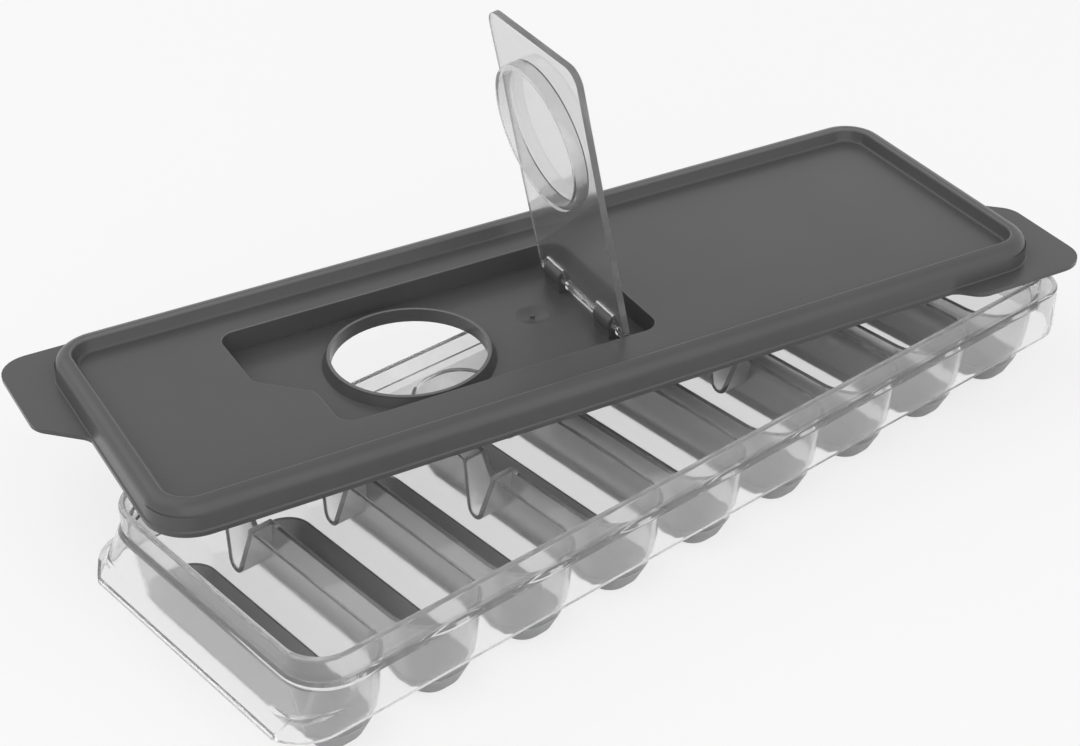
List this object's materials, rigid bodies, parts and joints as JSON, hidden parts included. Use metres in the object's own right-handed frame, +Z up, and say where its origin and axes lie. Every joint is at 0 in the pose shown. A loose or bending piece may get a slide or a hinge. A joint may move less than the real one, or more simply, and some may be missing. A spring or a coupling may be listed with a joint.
{
  "type": "ice cube tray",
  "caption": "Clear ice tray with long stick cells, soft grey push-out bottoms, and a grey lid with a pouring hole and a hinged clear flap, laid askew on the rim.",
  "frame": {"origin": "on the ground under the middle of the tray, at the foot of the middle cell", "axes": "+X along the row of cells, towards the tray's straight end; +Y to the back, where the lid hangs over the rim; +Z up"},
  "size_m": [0.2969, 0.1652, 0.1268],
  "materials": {
    "clear_plastic": "gloss",
    "soft_grey": "satin",
    "lid_grey": "satin",
    "flap_plastic": "gloss"
  },
  "bodies": {
    "tray": {"tray_frame": "clear_plastic", "cell_bottom_1": "soft_grey", "cell_bottom_2": "soft_grey", "cell_bottom_3": "soft_grey", "cell_bottom_4": "soft_grey", "cell_bottom_5": "soft_grey", "cell_bottom_6": "soft_grey", "cell_bottom_7": "soft_grey", "cell_bottom_8": "soft_grey", "cell_bottom_9": "soft_grey", "lid": "lid_grey"},
    "flap": {"flap": "flap_plastic"}
  },
  "joints": [
    {"name": "flap_hinge", "type": "hinge", "parent": "tray", "child": "flap", "pos_m": [0.01611, 0.03159, 0.0416], "axis": [0.2055, 0.9787, 0], "range_deg": [-79.5, 75]}
  ]
}
